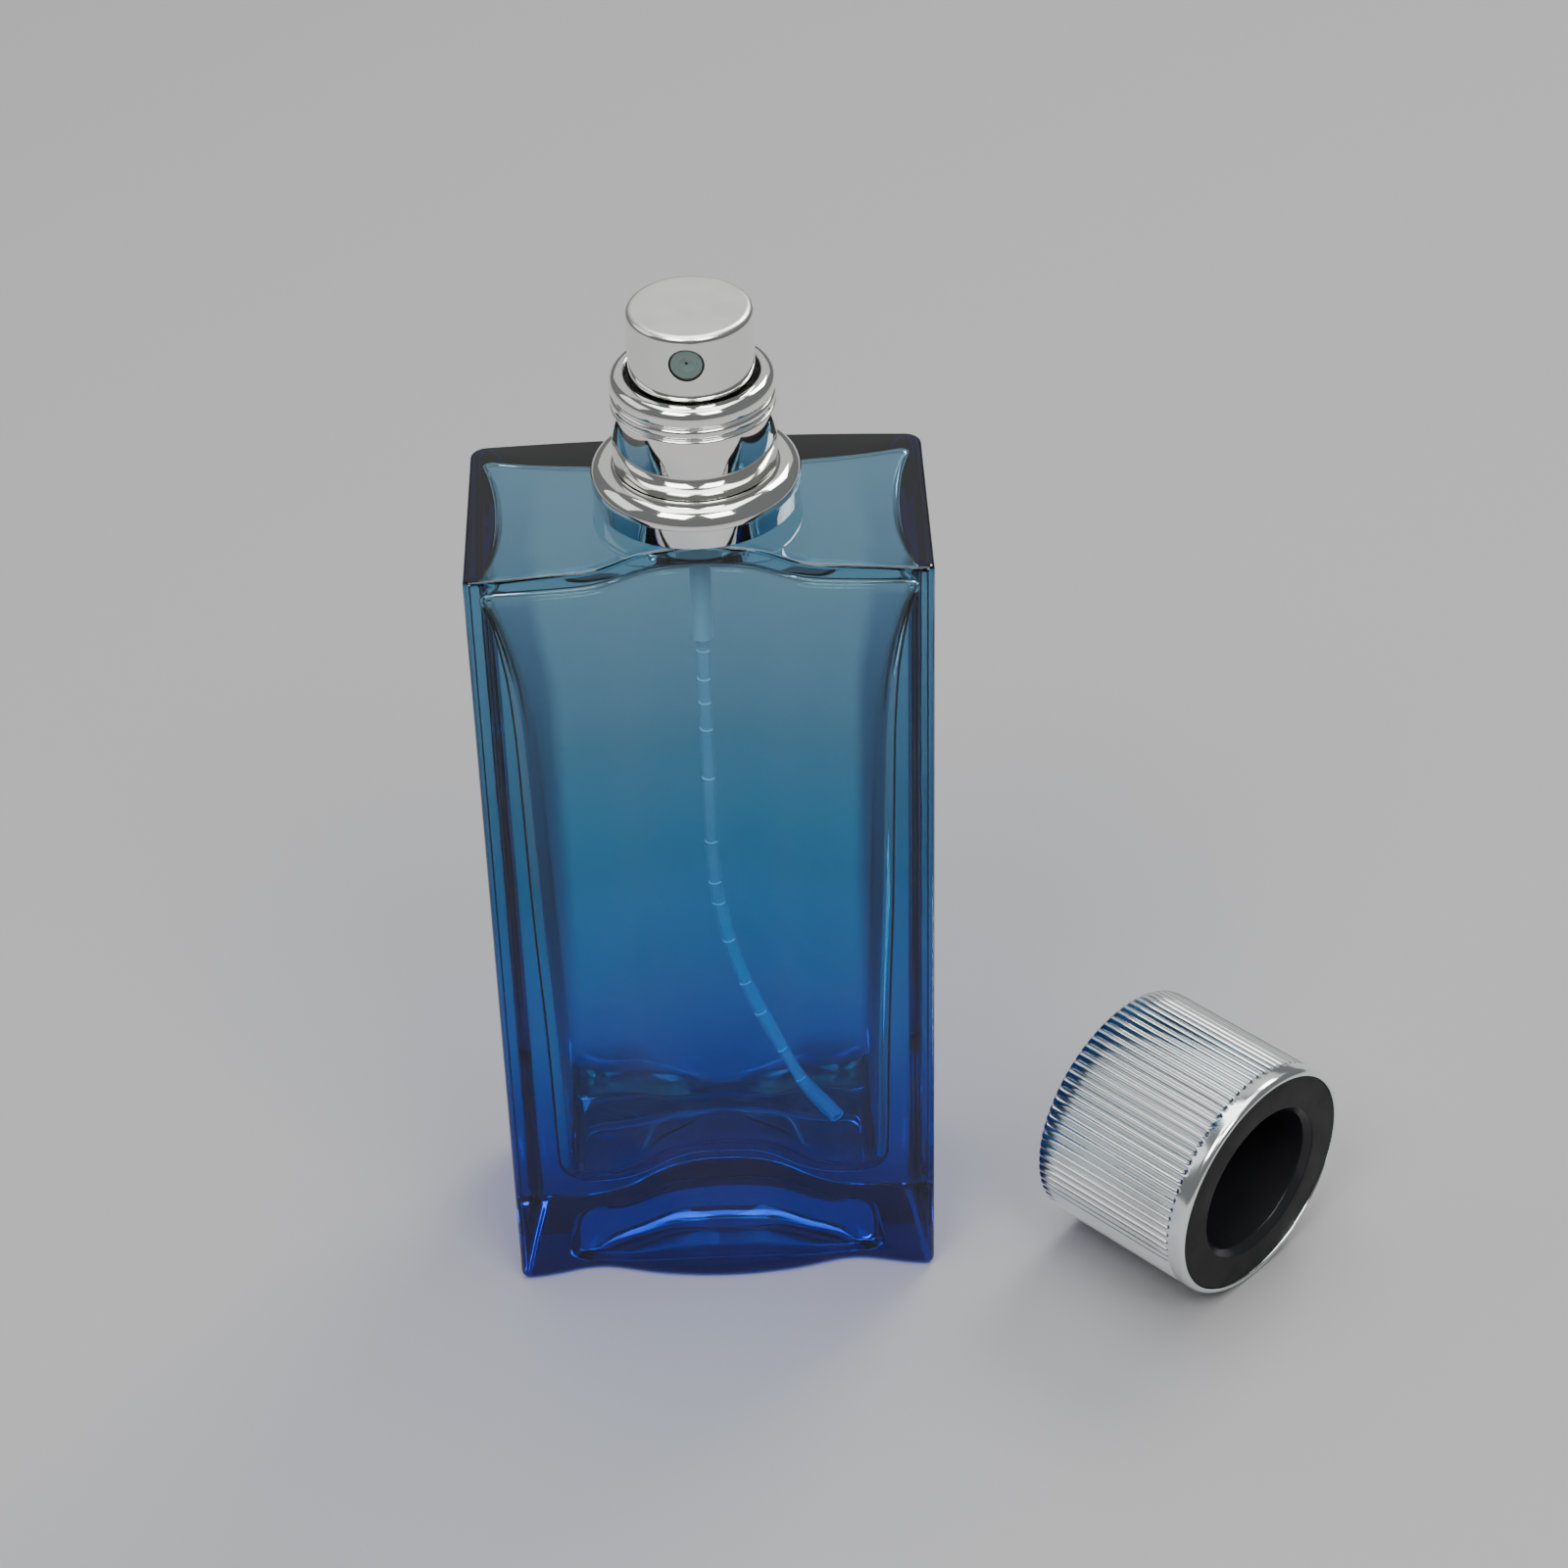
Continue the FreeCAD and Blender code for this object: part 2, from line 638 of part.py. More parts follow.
def make_collar():
    body = turned("collar", [
        ("liner_radius", "collar_bottom"), ("collar_foot_radius", "collar_bottom"),
        ("collar_foot_radius", "collar_foot_top"), ("collar_radius", "collar_foot_top"),
        ("collar_radius", "collar_shoulder"), ("collar_groove_radius", "collar_shoulder"),
        ("collar_groove_radius", "collar_ridge_bottom"), ("collar_radius", "collar_ridge_bottom"),
        ("collar_radius", "collar_ridge_top"), ("collar_groove_radius", "collar_ridge_top"),
        ("collar_groove_radius", "collar_bead_bottom"), ("collar_radius", "collar_bead_bottom"),
        ("collar_radius", "collar_top"), ("collar_mouth", "collar_top"),
        ("collar_mouth", "collar_mouth_bottom"), ("liner_radius", "collar_mouth_bottom"),
    ])
    soften(body, [("collar_radius", "collar_top")], "collar_rolled_edge")
    soften(body, [
        ("collar_radius", "collar_bead_bottom"), ("collar_radius", "collar_ridge_top"),
        ("collar_radius", "collar_ridge_bottom"), ("collar_radius", "collar_shoulder"),
    ], "collar_soft_edge")
    return body


def make_base_ring():
    body = turned("base_ring", [
        ("ring_bore", "skirt_web"), ("skirt_inner", "skirt_web"),
        ("skirt_inner", "skirt_bottom"), ("skirt_radius", "skirt_bottom"),
        ("skirt_radius", "ring_bead_bottom"), ("ring_bead_radius", "ring_bead_bottom"),
        ("ring_bead_radius", "ring_bead_top"), ("ring_bore", "ring_bead_top"),
    ])
    soften(body, [("ring_bead_radius", "ring_bead_top")], "ring_bead_round")
    soften(body, [("ring_bead_radius", "ring_bead_bottom")], "ring_bead_underside")
    return body


# ---------------------------------------------------------------- actuator

def make_actuator_shell():
    body = turned("actuator_shell", [
        ("button_inner", "button_bottom"), ("button_radius", "button_bottom"),
        ("button_radius", "button_top"), (None, "button_top"),
        (None, "button_roof"), ("button_inner", "button_roof"),
    ])
    soften(body, [("button_radius", "button_top")], "button_edge")
    drill(body, "shell_nozzle_hole", "nozzle_hole", "nozzle_level", None)
    return body


def make_actuator_core():
    body = turned("actuator_core", [
        ("core_skirt_inner", "core_bottom"), ("button_inner", "core_bottom"),
        ("button_inner", "button_roof"), (None, "button_roof"),
        (None, "stem_top"), ("stem_radius", "stem_top"),
        ("stem_radius", "core_bottom"), ("core_boss_radius", "core_bottom"),
        ("core_boss_radius", "core_roof"), ("core_skirt_inner", "core_roof"),
    ])
    drill(body, "core_channel", "channel_radius", "nozzle_level", None)
    drill(body, "core_nozzle_pocket", "nozzle_radius", "nozzle_level", "nozzle_back")
    return body


def make_nozzle_insert():
    """A small moulded plug whose axis is level; its own Z axis points out of the nozzle."""
    body = turned("nozzle_insert", [
        ("nozzle_orifice", "nozzle_back"), ("nozzle_radius", "nozzle_back"),
        ("nozzle_radius", "nozzle_face"), ("nozzle_dish", "nozzle_face"),
        ("nozzle_orifice", "nozzle_dish_floor"),
    ])
    heading = math.radians(size("nozzle_heading"))
    outward = Vector(math.sin(heading), -math.cos(heading), 0)
    place = Vector(0, size("pump_offset"), size("nozzle_level"))
    body.Placement = Placement(place, Rotation(Vector(0, 0, 1), outward))
    return body


# ---------------------------------------------------------------- cap

def lay_down(*pieces):
    """Lay the cap on its side, its mouth turned to the front right."""
    heading = math.radians(size("cap_heading"))
    along = Vector(math.cos(heading), math.sin(heading), 0)
    place = Vector(size("cap_end_x"), size("cap_end_y"), size("cap_radius"))
    for piece in pieces:
        piece.Placement = Placement(place, Rotation(Vector(0, 0, 1), along))


def make_cap_shell():
    body = turned("cap_shell", [
        (None, None), ("cap_radius", None),
        ("cap_radius", "cap_length"), ("cap_bore", "cap_length"),
        ("cap_bore", "cap_roof"), (None, "cap_roof"),
    ])
    soften(body, [("cap_radius", None)], "cap_edge")
    soften(body, [("cap_radius", "cap_length")], "cap_rim_edge")
    return body


def make_cap_liner():
    return turned("cap_liner", [
        (None, "sleeve_roof_outer"), ("sleeve_radius", "sleeve_roof_outer"),
        ("sleeve_radius", "sleeve_flange_back"), ("cap_bore", "sleeve_flange_back"),
        ("cap_bore", "sleeve_face"), ("sleeve_mouth", "sleeve_face"),
        ("sleeve_bore", "sleeve_chamfer_end"), ("sleeve_bore", "sleeve_roof_inner"),
        (None, "sleeve_roof_inner"),
    ])


# ---------------------------------------------------------------- checks and files

def check(pieces):
    for item in doc.Objects:
        if "Invalid" in item.State or "Error" in item.State:
            raise RuntimeError(f"{item.Label} did not recompute: {item.State}")
    for piece in pieces:
        if piece.Shape.isNull() or not piece.Shape.isValid():
            raise RuntimeError(f"{piece.Label} has no valid shape")
        if len(piece.Shape.Solids) != 1:
            raise RuntimeError(f"{piece.Label} has {len(piece.Shape.Solids)} solids")


def main():
    fill_sheet()
    pump = [
        make_neck_gasket(), make_pump_housing(), make_stem_guide(), make_crimp_ferrule(),
        make_return_spring(), make_pump_stem(), make_piston(), make_collar_liner(),
        make_collar(), make_base_ring(),
    ]
    stand_on_pump_axis(*pump)
    dip_tube = make_dip_tube()
    stand_on_pump_axis(dip_tube, heading="tube_heading")
    button = [make_actuator_shell(), make_actuator_core()]
    stand_on_pump_axis(*button, heading="nozzle_heading")
    cap = [make_cap_shell(), make_cap_liner()]
    lay_down(*cap)
    pieces = [make_glass_bottle(), *pump, dip_tube, make_inlet_ball(), *button, make_nozzle_insert(), *cap]
    doc.recompute()
    check(pieces)
    os.makedirs("parts", exist_ok=True)
    for piece in pieces:
        piece.Shape.exportStep(f"parts/{piece.Label}.step")
        print(f"{piece.Label:16s} {piece.Shape.Volume:10.2f} mm3")


main()
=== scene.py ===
import json
import math

import bmesh
import bpy
from mathutils import Matrix, Vector


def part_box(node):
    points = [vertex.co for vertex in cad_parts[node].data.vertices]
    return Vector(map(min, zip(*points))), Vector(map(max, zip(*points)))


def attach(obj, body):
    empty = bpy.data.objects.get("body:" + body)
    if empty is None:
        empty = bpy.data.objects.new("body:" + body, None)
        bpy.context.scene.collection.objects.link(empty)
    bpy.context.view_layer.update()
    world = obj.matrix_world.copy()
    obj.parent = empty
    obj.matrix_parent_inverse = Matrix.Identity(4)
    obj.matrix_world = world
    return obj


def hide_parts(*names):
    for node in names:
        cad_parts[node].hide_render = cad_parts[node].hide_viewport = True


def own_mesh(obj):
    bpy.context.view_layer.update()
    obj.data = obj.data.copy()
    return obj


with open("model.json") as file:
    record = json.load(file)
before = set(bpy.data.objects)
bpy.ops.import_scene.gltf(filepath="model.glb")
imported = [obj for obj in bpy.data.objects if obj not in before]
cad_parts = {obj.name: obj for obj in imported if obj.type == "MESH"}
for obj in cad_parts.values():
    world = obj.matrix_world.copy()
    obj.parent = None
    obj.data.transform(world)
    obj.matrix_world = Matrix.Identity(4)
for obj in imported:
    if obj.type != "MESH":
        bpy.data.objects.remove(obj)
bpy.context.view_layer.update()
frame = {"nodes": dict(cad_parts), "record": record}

MM = 0.001
NODES = frame["nodes"]


# ------------------------------------------------------------------ places taken from the frame

def node_axis(name):
    """Middle of a CAD node's box in the level plane, in millimetres: the axis of an upright turned piece."""
    low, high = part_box(name)
    return Vector(((low.x + high.x) / 2, (low.y + high.y) / 2, 0)) / MM


PUMP_AXIS = node_axis("collar")
GLASS_LOW, GLASS_HIGH = (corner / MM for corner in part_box("glass_bottle"))
BORE = next(mount for mount in frame["record"]["mounts"] if mount["name"] == "cap_bore")
CAP_ALONG = Vector(BORE["axis"]).normalized()
BORE_MIDDLE_FROM_END = 13.65
CAP_END = Vector(BORE["pos_m"]) / MM - CAP_ALONG * BORE_MIDDLE_FROM_END

UPRIGHT = Matrix.Translation(PUMP_AXIS)
CAP_SIDE = Vector((0, 0, 1)).cross(CAP_ALONG).normalized()
CAP_FRAME = Matrix.Translation(CAP_END) @ Matrix((
    (CAP_SIDE.x, 0, CAP_ALONG.x, 0),
    (CAP_SIDE.y, 0, CAP_ALONG.y, 0),
    (CAP_SIDE.z, 1, CAP_ALONG.z, 0),
    (0, 0, 0, 1),
))


# ------------------------------------------------------------------ the glass's outside, in millimetres

WIDTH = GLASS_HIGH.x - GLASS_LOW.x
DEPTH = 30.0
TOP = 112.0
SCOOP = 6.1
WAVE_DIP, WAVE_SWELL = 1.7, 0.7
WAVE_TOP = 24.0
BACK_BULGE = 0.98
FRONT_CORNER, BACK_CORNER = 1.0, 1.8
FRONT_STEPS, REAR_STEPS, SIDE_STEPS, CORNER_STEPS = 96, 64, 20, 8


def front_depth(x, wave):
    """How far the front face lies behind the plane of its corners at x: 1 is the scoop, 0 the waved foot."""
    edge = WIDTH / 2
    bell = 0.59 * SCOOP * math.exp(-(x / 10) ** 4) + 0.41 * SCOOP * (1 - min(1, abs(x) / edge) ** 1.5)
    foot = WAVE_DIP * math.exp(-((abs(x) - 17) / 6) ** 2) - WAVE_SWELL * math.exp(-(x / 8) ** 2)
    return wave * bell + (1 - wave) * foot


# ------------------------------------------------------------------ shader helpers

class Shader:
    """A material's node tree with a Principled shader, and short ways to add nodes to it."""

    def __init__(self, name, **inputs):
        self.material = bpy.data.materials.new(name)
        self.material.use_nodes = True
        self.tree = self.material.node_tree
        self.surface = self.tree.nodes["Principled BSDF"]
        for socket, value in inputs.items():
            self.surface.inputs[socket.replace("_", " ")].default_value = value

    def add(self, kind, **settings):
        node = self.tree.nodes.new(kind)
        for key, value in settings.items():
            setattr(node, key, value)
        return node

    def link(self, source, target):
        self.tree.links.new(source, target)

    def place(self):
        """Coordinates of the object at rest, in metres."""
        return self.add("ShaderNodeTexCoord").outputs["Object"]

    def noise(self, vector, scale, detail=2.0, roughness=0.5):
        node = self.add("ShaderNodeTexNoise")
        node.inputs["Scale"].default_value = scale
        node.inputs["Detail"].default_value = detail
        node.inputs["Roughness"].default_value = roughness
        self.link(vector, node.inputs["Vector"])
        return node.outputs["Fac"]

    def spread(self, value, from_low, from_high, low, high):
        node = self.add("ShaderNodeMapRange")
        for socket, number in zip(("From Min", "From Max", "To Min", "To Max"), (from_low, from_high, low, high)):
            node.inputs[socket].default_value = number
        self.link(value, node.inputs["Value"])
        return node.outputs["Result"]

    def ramp(self, value, stops):
        node = self.add("ShaderNodeValToRGB")
        elements = node.color_ramp.elements
        while len(elements) < len(stops):
            elements.new(0.5)
        for element, (position, colour) in zip(elements, stops):
            element.position = position
            element.color = (*colour, 1)
        self.link(value, node.inputs["Fac"])
        return node.outputs["Color"]

    def math(self, operation, *values):
        node = self.add("ShaderNodeMath", operation=operation)
        for socket, value in zip(node.inputs, values):
            if isinstance(value, (int, float)):
                socket.default_value = value
            else:
                self.link(value, socket)
        return node.outputs["Value"]

    def mix(self, share, first, second, blend="MIX"):
        """The linked colour first where share is 0, and second, or first times second, where it is 1."""
        node = self.add("ShaderNodeMix", data_type="RGBA", blend_type=blend)
        self.link(share, node.inputs[0])
        self.link(first, node.inputs[6])
        if isinstance(second, tuple):
            node.inputs[7].default_value = second
        else:
            self.link(second, node.inputs[7])
        return node.outputs[2]

    def bump(self, height, distance):
        node = self.add("ShaderNodeBump")
        node.inputs["Distance"].default_value = distance
        self.link(height, node.inputs["Height"])
        self.link(node.outputs["Normal"], self.surface.inputs["Normal"])


def metal(name, colour, roughness, vary, grain_scale, grain_depth):
    """Bright metal whose gloss varies a little and whose surface is never quite flat."""
    shader = Shader(name, Metallic=1.0, Base_Color=(*colour, 1))
    place = shader.place()
    blotch = shader.noise(place, 160, 4)
    shader.link(shader.spread(blotch, 0.3, 0.7, roughness, roughness + vary), shader.surface.inputs["Roughness"])
    shader.bump(shader.noise(place, grain_scale, 2), grain_depth)
    return shader.material


def button_metal():
    """The button's bright side and satin top, which meet in the rounded edge."""
    shader = Shader("button_metal", Metallic=1.0, Base_Color=(0.90, 0.915, 0.865, 1))
    place = shader.place()
    split = shader.add("ShaderNodeSeparateXYZ")
    shader.link(place, split.inputs["Vector"])
    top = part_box("actuator_shell")[1].z
    height = shader.spread(split.outputs["Z"], top - 0.0006, top - 0.0001, 0.04, 0.34)
    blotch = shader.spread(shader.noise(place, 260, 3), 0.3, 0.7, 0.0, 0.04)
    total = shader.add("ShaderNodeMath", operation="ADD")
    shader.link(height, total.inputs[0])
    shader.link(blotch, total.inputs[1])
    shader.link(total.outputs["Value"], shader.surface.inputs["Roughness"])
    shader.bump(shader.noise(place, 60, 2), 0.000003)
    return shader.material


def plastic(name, colour, dark, roughness, vary, grain_scale, grain_depth, **inputs):
    """Moulded plastic with a faint colour drift, uneven gloss and a fine moulded grain."""
    shader = Shader(name, **inputs)
    place = shader.place()
    cloud = shader.noise(place, 90, 3)
    shader.link(shader.ramp(cloud, [(0.35, dark), (0.65, colour)]), shader.surface.inputs["Base Color"])
    blotch = shader.noise(place, 260, 3)
    shader.link(shader.spread(blotch, 0.3, 0.7, roughness, roughness + vary), shader.surface.inputs["Roughness"])
    shader.bump(shader.noise(place, grain_scale, 3), grain_depth)
    return shader.material


def let_lamps_through(shader, tint=None, colour=(1, 1, 1, 1)):
    """Light from the lamps passes the glass in a straight line, so that what is behind it is lit."""
    clear = shader.add("ShaderNodeBsdfTransparent")
    clear.inputs["Color"].default_value = colour
    if tint:
        shader.link(tint, clear.inputs["Color"])
    path = shader.add("ShaderNodeLightPath")
    mix = shader.add("ShaderNodeMixShader")
    shader.link(path.outputs["Is Shadow Ray"], mix.inputs[0])
    shader.link(shader.surface.outputs["BSDF"], mix.inputs[1])
    shader.link(clear.outputs["BSDF"], mix.inputs[2])
    shader.link(mix.outputs["Shader"], shader.tree.nodes["Material Output"].inputs["Surface"])


def inside_mask(shader, x, y, z):
    """1 on the walls of the cavity, 0 on the outside of the glass."""
    width = shader.spread(shader.math("ABSOLUTE", x), 0, WIDTH / 2 * MM, 0, 1)
    stops = [(step / 10, (front_depth(WIDTH / 20 * step, 1.0) / SCOOP,) * 3) for step in range(11)]
    scoop = shader.math("MULTIPLY", shader.ramp(width, stops), SCOOP * MM)
    behind_front = shader.math("SUBTRACT", shader.math("ADD", y, DEPTH / 2 * MM), scoop)
    mask = shader.math("GREATER_THAN", behind_front, 0.0008)
    for test in (
        shader.math("LESS_THAN", y, (DEPTH / 2 - 0.8) * MM),
        shader.math("LESS_THAN", shader.math("ABSOLUTE", x), (WIDTH / 2 - 0.6) * MM),
        shader.math("LESS_THAN", z, (TOP - 1.2) * MM),
        shader.math("GREATER_THAN", z, 0.006),
    ):
        mask = shader.math("MULTIPLY", mask, test)
    return mask


def lacquered_glass():
    """Glass with a faint blue of its own and a see-through lacquer outside, deep at the foot and pale above, with
    painted shade on its narrow sides and in the cavity's corners and rear floor.
    """
    shader = Shader("lacquered_glass", Transmission_Weight=1.0, IOR=1.5, Roughness=0.0)
    place = shader.place()
    split = shader.add("ShaderNodeSeparateXYZ")
    shader.link(place, split.inputs["Vector"])
    x, y, z = (split.outputs[axis] for axis in "XYZ")
    drift = shader.spread(shader.noise(place, 45, 3), 0.3, 0.7, -0.002, 0.002)
    level = shader.spread(shader.math("ADD", z, drift), 0.0, TOP * MM, 0.0, 1.0)
    mask = inside_mask(shader, x, y, z)
    # Painted shade: the lacquer on the narrow sides is darkened, standing in for the shade of the thick side walls.
    painted_side_shade_mask = shader.spread(shader.math("ABSOLUTE", x), 0.0266, 0.0272, 0, 1)
    lacquer = shader.mix(painted_side_shade_mask, shader.ramp(level, LACQUER), NARROW_SIDE_PAINTED_SHADE, "MULTIPLY")
    # Painted shade on the cavity's walls: darker in its side corners, by height, and in two humps along the rear
    # rounding of its floor.
    corner_shade_mask = shader.spread(shader.math("ABSOLUTE", x), 0.0184, 0.0200, 1, 0)
    humps = shader.spread(shader.math("ABSOLUTE", x), 0.004, 0.013, 0.0, 0.0045)
    low = shader.spread(shader.math("SUBTRACT", z, humps), 0.0115, 0.0150, 1, 0)
    rear_floor_shade_mask = shader.math("MULTIPLY", low, shader.spread(y, -0.006, 0.0, 0, 1))
    sides = shader.mix(corner_shade_mask, shader.ramp(level, CORNER_SHADE), (1, 1, 1, 1))
    painted_cavity_shade = shader.mix(rear_floor_shade_mask, sides, FLOOR_SHADE, "MULTIPLY")
    shader.link(shader.mix(mask, lacquer, painted_cavity_shade), shader.surface.inputs["Base Color"])
    shader.bump(shader.noise(place, 55, 2), 0.00008)
    let_lamps_through(shader, shader.mix(mask, shader.ramp(level, SHADE), (1, 1, 1, 1)))
    depth = shader.add("ShaderNodeVolumeAbsorption")
    depth.inputs["Color"].default_value = GLASS_TINT
    depth.inputs["Density"].default_value = GLASS_TINT_DENSITY
    shader.link(depth.outputs["Volume"], shader.tree.nodes["Material Output"].inputs["Volume"])
    return shader.material


# Painted shade: the narrow sides' lacquer is multiplied by this.
NARROW_SIDE_PAINTED_SHADE = (0.4, 0.5, 0.65, 1)
GLASS_TINT = (0.08, 0.64, 0.84, 1)
GLASS_TINT_DENSITY = 30.0
LACQUER = [
    (0.00, (0.000, 0.004, 0.14)),
    (0.05, (0.000, 0.009, 0.31)),
    (0.14, (0.000, 0.036, 0.39)),
    (0.24, (0.000, 0.125, 0.48)),
    (0.36, (0.000, 0.215, 0.60)),
    (0.46, (0.001, 0.210, 0.50)),
    (0.60, (0.030, 0.195, 0.34)),
    (0.84, (0.15, 0.33, 0.46)),
    (1.00, (0.22, 0.43, 0.55)),
]
# Painted shade for the cavity's walls: FLOOR_SHADE darkens the humps at the rear of its floor, CORNER_SHADE its side
# corners by height.
FLOOR_SHADE = (0.06, 0.11, 0.34, 1)
CORNER_SHADE = [
    (0.00, (0.22, 0.50, 0.80)),
    (0.20, (0.22, 0.50, 0.80)),
    (0.38, (0.10, 0.22, 0.42)),
    (0.55, (0.10, 0.20, 0.36)),
    (0.80, (0.30, 0.42, 0.55)),
    (0.95, (0.90, 0.95, 1.00)),
]
SHADE = [
    (0.00, (0.02, 0.18, 0.66)),
    (0.30, (0.03, 0.28, 0.66)),
    (0.60, (0.16, 0.40, 0.60)),
    (1.00, (0.32, 0.52, 0.64)),
]


def tube_plastic():
    """Thin natural plastic, nearly clear, a little cloudy along its length."""
    shader = Shader("tube_plastic", Transmission_Weight=0.85, IOR=1.16, Roughness=0.05)
    cloud = shader.noise(shader.place(), 120, 3)
    shader.link(shader.ramp(cloud, [(0.35, (0.82, 0.92, 0.96)), (0.65, (0.94, 0.98, 1.0))]),
                shader.surface.inputs["Base Color"])
    let_lamps_through(shader)
    return shader.material


BOTTLE_GLASS = lacquered_glass()
MIRROR_SILVER = metal("mirror_silver", (0.94, 0.94, 0.90), 0.045, 0.04, 60, 0.000003)
BUTTON_SILVER = button_metal()
CAP_SILVER = metal("cap_silver", (0.89, 0.93, 0.91), 0.11, 0.05, 60, 0.000002)
FERRULE = metal("ferrule_aluminium", (0.75, 0.76, 0.77), 0.25, 0.1, 900, 0.000004)
STEEL = metal("spring_steel", (0.6, 0.6, 0.61), 0.2, 0.1, 1500, 0.000003)
FACE_BLACK = plastic("face_black", (0.011, 0.011, 0.012), (0.008, 0.008, 0.009), 0.36, 0.12, 2600, 0.000012,
                     Specular_IOR_Level=0.16)
BORE_BLACK = plastic("bore_black", (0.020, 0.020, 0.023), (0.016, 0.016, 0.019), 0.14, 0.1, 700, 0.000008,
                     Specular_IOR_Level=0.25)
PUMP_WHITE = plastic("pump_plastic", (0.80, 0.82, 0.82), (0.74, 0.77, 0.78), 0.3, 0.12, 800, 0.00001)
LINER_GREY = plastic("liner_plastic", (0.30, 0.31, 0.29), (0.24, 0.25, 0.23), 0.30, 0.12, 800, 0.00001)
RUBBER = plastic("gasket_rubber", (0.72, 0.78, 0.80), (0.68, 0.74, 0.76), 0.5, 0.15, 1500, 0.00001)
NOZZLE = plastic("nozzle_plastic", (0.14, 0.20, 0.185), (0.11, 0.165, 0.15), 0.24, 0.1, 1200, 0.000004)
# Painted shade: the actuator core's white plastic is made near black so that the ring round the nozzle shows as shaded.
CORE_PAINTED_SHADE = plastic("core_painted_shade", (0.012, 0.014, 0.014), (0.008, 0.010, 0.010), 0.4, 0.1, 1200, 0.000006)
TUBE_CLEAR = tube_plastic()
# Painted glint: a white finish for the bright rims of the drops in the dip tube.
DROP_PAINTED_GLINT = plastic("drop_painted_glint", (0.86, 0.93, 0.95), (0.80, 0.90, 0.93), 0.12, 0.1, 900, 0.000004)


# ------------------------------------------------------------------ mesh helpers

def make_piece(name, mesh_data, body, materials, replaced=(), sharp=40.0):
    """An object from (vertices in millimetres, faces, material index of each face)."""
    vertices, faces, indices = mesh_data
    mesh = bpy.data.meshes.new(name)
    mesh.from_pydata([Vector(v) * MM for v in vertices], [], faces)
    for material in materials:
        mesh.materials.append(material)
    mesh.polygons.foreach_set("material_index", indices)
    mesh.update()
    tidy = bmesh.new()
    tidy.from_mesh(mesh)
    bmesh.ops.remove_doubles(tidy, verts=tidy.verts, dist=1e-7)
    bmesh.ops.recalc_face_normals(tidy, faces=tidy.faces)
    tidy.to_mesh(mesh)
    tidy.free()
    mesh.shade_smooth()
    mesh.set_sharp_from_angle(angle=math.radians(sharp))
    piece = bpy.data.objects.new(name, mesh)
    bpy.context.scene.collection.objects.link(piece)
    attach(piece, body)
    if replaced:
        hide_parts(*replaced)
    return piece


def rounded(points, steps=7):
    """A closed (radius, height) outline whose corners with a third number are rounded by that radius."""
    line = []
    count = len(points)
    for index, point in enumerate(points):
        here = Vector(point[:2])
        radius = point[2] if len(point) > 2 else 0
        if not radius:
            line.append((here.x, here.y))
            continue
        before = Vector(points[index - 1][:2]) - here
        after = Vector(points[(index + 1) % count][:2]) - here
        half = before.angle(after) / 2
        reach = radius / math.tan(half)
        start = here + before.normalized() * reach
        end = here + after.normalized() * reach
        centre = here + (before.normalized() + after.normalized()).normalized() * (radius / math.sin(half))
        first, last = start - centre, end - centre
        turn = first.angle_signed(last)
        for step in range(steps + 1):
            arm = first.copy()
            arm.rotate(Matrix.Rotation(-turn * step / steps, 2))
            line.append((centre.x + arm.x, centre.y + arm.y))
    return line


def lathe(outline, segments, place, tag=None, closed=True):
    """Turns a (radius, height) outline about the Z axis of place; points on the axis become one vertex."""
    vertices, faces, indices, rings = [], [], [], []
    for radius, level in outline:
        if radius < 1e-6:
            rings.append([len(vertices)] * segments)
            vertices.append(place @ Vector((0, 0, level)))
            continue
        ring = []
        for step in range(segments):
            angle = 2 * math.pi * step / segments
            ring.append(len(vertices))
            vertices.append(place @ Vector((radius * math.cos(angle), radius * math.sin(angle), level)))
        rings.append(ring)
    pairs = len(rings) if closed else len(rings) - 1
    for index in range(pairs):
        low, high = rings[index], rings[(index + 1) % len(rings)]
        middle = [(a + b) / 2 for a, b in zip(outline[index], outline[(index + 1) % len(rings)])]
        for step in range(segments):
            other = (step + 1) % segments
            corners = [low[step], low[other], high[other], high[step]]
            face = list(dict.fromkeys(corners))
            if len(face) > 2:
                faces.append(face)
                indices.append(tag(*middle) if tag else 0)
    return vertices, faces, indices


def tube_faces(first, rings, sides):
    """Faces of a closed tube whose rings of points are numbered one after another from first."""
    faces = []
    for ring in range(rings - 1):
        near, far = first + ring * sides, first + (ring + 1) * sides
        for side in range(sides):
            other = (side + 1) % sides
            faces.append([near + side, far + side, far + other, near + other])
    faces.append([first + side for side in range(sides)])
    faces.append([first + (rings - 1) * sides + side for side in reversed(range(sides))])
    return faces


# ------------------------------------------------------------------ glass bottle

def wave_at(level):
    share = min(1, max(0, (level - 1.2) / (WAVE_TOP - 1.2)))
    return share


def rear_depth(x, level):
    """How far the rear face stands behind the plane of its corners."""
    edge = WIDTH / 2
    return BACK_BULGE * (1 - min(1, abs(x) / edge) ** 2)


def bent_corner(start, corner, end, steps):
    """Points inside a rounded corner, between its two tangent points."""
    hold = 0.5523
    first = start.lerp(corner, hold)
    second = end.lerp(corner, hold)
    made = []
    for step in range(1, steps):
        t = step / steps
        made.append(start * (1 - t) ** 3 + first * 3 * t * (1 - t) ** 2
                    + second * 3 * t * t * (1 - t) + end * t ** 3)
    return made


